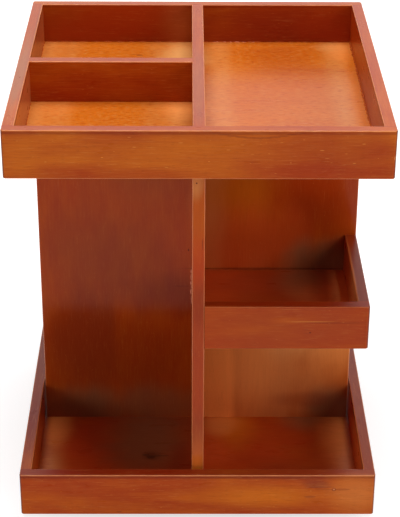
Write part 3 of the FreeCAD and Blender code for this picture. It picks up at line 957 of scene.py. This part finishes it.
# %% Nylon, rubber and beech
def moulded(name, tint, roughness, grain):
    """Plastic, rubber or bare beech with a fine skin, whose grains are 1 / grain mm wide."""
    finish = Finish(bpy.data.materials.new(name))
    place = finish.object_place()
    skin = finish.noise(place, (grain / MM,) * 3, detail=3.0)
    clouds = finish.noise(place, (90.0,) * 3, detail=2.0)
    return finish.done(
        Base_Color=finish.tinted(tint, 0.86 + skin * 0.16 + clouds * 0.12),
        Normal=finish.bumped(skin, strength=0.3, depth=skin_depth),
        Roughness=roughness + (skin - 0.5) * 0.2,
    )


nylon, rubber, beech = colour(228, 224, 208), colour(38, 37, 38), colour(214, 184, 140)
for node, tint, roughness, grain in (
    ("ball_cage", nylon, 0.42, 2.0),
    ("centre_washer", nylon, 0.42, 2.0),
    ("rubber_feet", rubber, 0.75, 5.0),
    ("core_dowels", beech, 0.6, 1.0),
):
    dress(node, moulded(node, tint, roughness, grain))
    print(node, "with a roughness of", roughness)

# %% [markdown]
# ## Glue
# Where two boards meet in a corner, a little glue was squeezed out and wiped badly. It took
# no stain, so it shows as short pale streaks, and along the floors it holds a darker line of
# stain with a wavy edge. Each streak is a row of drops: an icosphere drawn out along the
# corner and half sunk into it. A displaced tube would also do, but drops break off by
# themselves, as the real ones do.

# %% Glue in the corners
import random

chance = random.Random(12)
shortest, longest = 1.2, 4.5  # half the length of a drop
thinnest, thickest = 0.6, 1.25  # times the thickness of its row
lift, overlap = 0.25, 1.5


def glue_row(drawing, start, end, away, thick, longest_gap):
    """A row of drops from start to end, in millimetres, lifted from the corner along away."""
    start, end, away = Vector(start), Vector(end), Vector(away).normalized()
    along = (end - start).normalized()
    turn = along.to_track_quat("X", "Z").to_matrix().to_4x4()
    reached = 0.0
    while reached < (end - start).length:
        half = chance.uniform(shortest, longest)
        width = thick * chance.uniform(thinnest, thickest)
        centre = start + along * (reached + half) + away * width * lift
        size = Matrix.Diagonal((half * MM, width * MM, width * MM, 1.0))
        drop = Matrix.Translation(centre * MM) @ turn @ size
        bmesh.ops.create_icosphere(drawing, subdivisions=2, radius=1.0, matrix=drop)
        reached += 2 * half + chance.uniform(-overlap, longest_gap)


def glue_piece(name, rows, material):
    """All rows of one glue as one mesh that turns with the organizer."""
    drawing = bmesh.new()
    for row in rows:
        glue_row(drawing, *row)
    mesh = bpy.data.meshes.new(name)
    drawing.to_mesh(mesh)
    drawing.free()
    piece = bpy.data.objects.new(name, mesh)
    bpy.context.scene.collection.objects.link(piece)
    mesh.materials.append(material)
    mesh.polygons.foreach_set("use_smooth", [True] * len(mesh.polygons))
    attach(piece, "organizer")
    print(name, len(mesh.polygons), "faces")


# %% The glue that was squeezed out
def dull_glue(name, tint):
    """Dried glue: cloudy and nearly matt."""
    finish = Finish(bpy.data.materials.new(name))
    clouds = finish.noise(finish.object_place(), (400.0,) * 3, detail=2.0)
    body = finish.tinted(tint, 0.7 + clouds * 0.5)
    return finish.done(Base_Color=body, Roughness=0.45 + clouds * 0.1, IOR=lacquer_ior)


pale_glue = dull_glue("pale_glue", colour(226, 140, 104))
stained_glue = dull_glue("stained_glue", colour(176, 76, 22))
half_board, wall = -panel_front, inner_wall
pale_rows = [
    ((-half_board, -half_board, 120.0), (-half_board, -half_board, 139.0), (-1, -1, 0), 0.75, 0.4),
    ((-half_board, -half_board, 112.0), (-half_board, -half_board, 116.0), (-1, -1, 0), 0.6, 3.0),
    ((half_board, half_board, 190.0), (half_board, half_board, 222.0), (1, 1, 0), 0.6, 5.0),
    ((-half_board, half_board, 40.0), (-half_board, half_board, 64.0), (-1, 1, 0), 0.6, 4.0),
    ((6.0, wall, top_face), (42.0, wall, top_face), (0, -1, 1), 0.35, 1.5),
]
glue_piece("corner_glue", pale_rows, pale_glue)

floor_rows = [
    ((wall, -wall, top_face), (wall, wall, top_face), (-1, 0, 1), 0.85, 0.8),
    ((half_board, wall, top_face), (wall, wall, top_face), (0, -1, 1), 0.45, 4.0),
    ((-wall, wall, top_face), (-half_board, wall, top_face), (0, -1, 1), 0.5, 6.0),
    ((-wall, half_board, top_face), (-wall, wall, top_face), (1, 0, 1), 0.5, 6.0),
    ((-wall, -wall, top_face), (-wall, -half_board, top_face), (1, 0, 1), 0.5, 6.0),
]
glue_piece("floor_glue", floor_rows, stained_glue)

# %% [markdown]
# ## The studio
# The photograph has a white sweep under and behind the object. More light on a pale floor
# would whiten it too, but it would bleach the wood. So the camera and mirror rays see the
# world and the sheet on the floor as white, while every other ray meets a dim room and a
# pale, matt sheet. The sheet still takes the object's shadow: the grey part of what the
# camera sees is lit by the lamps, and a glow makes up the rest. Near the object the glow is
# weaker, so that the shadow shows there.

# %% World
white = (1.0, 1.0, 1.0, 1.0)
room_strength = 0.10


def white_where_seen(finish, plain, bright):
    """The plain shader, but the bright one for the camera and for mirror and glass rays."""
    seen = finish.node("LightPath", out="Is Camera Ray")
    seen = seen.most(seen.also("Is Glossy Ray")).most(seen.also("Is Transmission Ray"))
    return finish.node("MixShader", {}, {0: seen, 1: plain, 2: bright})


studio = Finish(bpy.data.worlds.new("studio"))
room = studio.node("Background", {}, {"Color": white, "Strength": room_strength})
sweep = studio.node("Background", {}, {"Color": white, "Strength": 1.0})
bpy.context.scene.world = studio.ends_in(white_where_seen(studio, room, sweep), "World")
print("a room of strength", room_strength)

# %% Floor
floor_half_size = 3.0
floor_drop = 0.1 * MM  # so that the feet don't lie in the sheet
floor_mesh = bpy.data.meshes.new("studio_floor")
drawing = bmesh.new()
bmesh.ops.create_grid(drawing, x_segments=1, y_segments=1, size=floor_half_size,
                      matrix=Matrix.Translation((0, 0, -floor_drop)))
drawing.to_mesh(floor_mesh)
drawing.free()
floor = bpy.data.objects.new("studio_floor", floor_mesh)
bpy.context.scene.collection.objects.link(floor)
print("a floor", 2 * floor_half_size, "m wide")

# %% The paper on the floor
pale_grey, shadow_grey = (0.9, 0.9, 0.9, 1.0), (0.4, 0.4, 0.4, 1.0)
glow_steps = {"From Min": 0.12, "From Max": 0.3, "To Min": 0.7, "To Max": 1.0}
paper = Finish(bpy.data.materials.new("studio_paper"))
matt = paper.node("BsdfDiffuse", {}, {"Color": pale_grey})
shadowed = paper.node("BsdfDiffuse", {}, {"Color": shadow_grey})
strength = paper.node("MapRange", {}, {"Value": paper.length(paper.object_place()), **glow_steps})
glow = paper.node("Emission", {}, {"Strength": strength})
lifted = paper.node("AddShader", {}, {0: shadowed, 1: glow})
floor_mesh.materials.append(paper.ends_in(white_where_seen(paper, matt, lifted)))
print("the paper glows fully from", glow_steps["From Max"], "m outwards")

# %% [markdown]
# ## The lamps
# A wide soft light hangs above the object, as for most product photographs, with a low fill
# in front and behind, and a softer light at each side that brightens the rims. Sun or spot
# lamps would draw hard shadows, and a bright world alone would light the bays too evenly.

# %% Lamps
def softbox(name, place, aim, width, height, power):
    """A rectangular lamp at a place, turned to face aim."""
    lamp = bpy.data.lights.new(name, "AREA")
    lamp.shape = "RECTANGLE"
    lamp.size, lamp.size_y = width, height
    lamp.energy = power
    holder = bpy.data.objects.new(name, lamp)
    bpy.context.scene.collection.objects.link(holder)
    holder.location = place
    holder.rotation_euler = (Vector(aim) - Vector(place)).to_track_quat("-Z", "Y").to_euler()
    print(name, "at", power, "W")


middle = (0.0, 0.0, 0.15)
softbox("overhead", (0.0, 0.05, 1.4), middle, 0.8, 0.8, 14.6)
softbox("front_fill", (0.1, -1.1, 0.12), middle, 1.2, 0.2, 1.4)
softbox("back_fill", (-0.1, 1.1, 0.12), middle, 1.2, 0.2, 2.5)
softbox("right_side", (0.75, -0.5, 0.62), middle, 0.55, 0.55, 4.0)
softbox("left_side", (-0.9, -0.5, 0.42), middle, 0.4, 0.4, 2.8)

bpy.context.scene.view_settings.view_transform = "Standard"

# %% [markdown]
# ## Sizes
# The box of the boards and the turntable is printed when they are loaded. A finish must not
# make a thing larger.
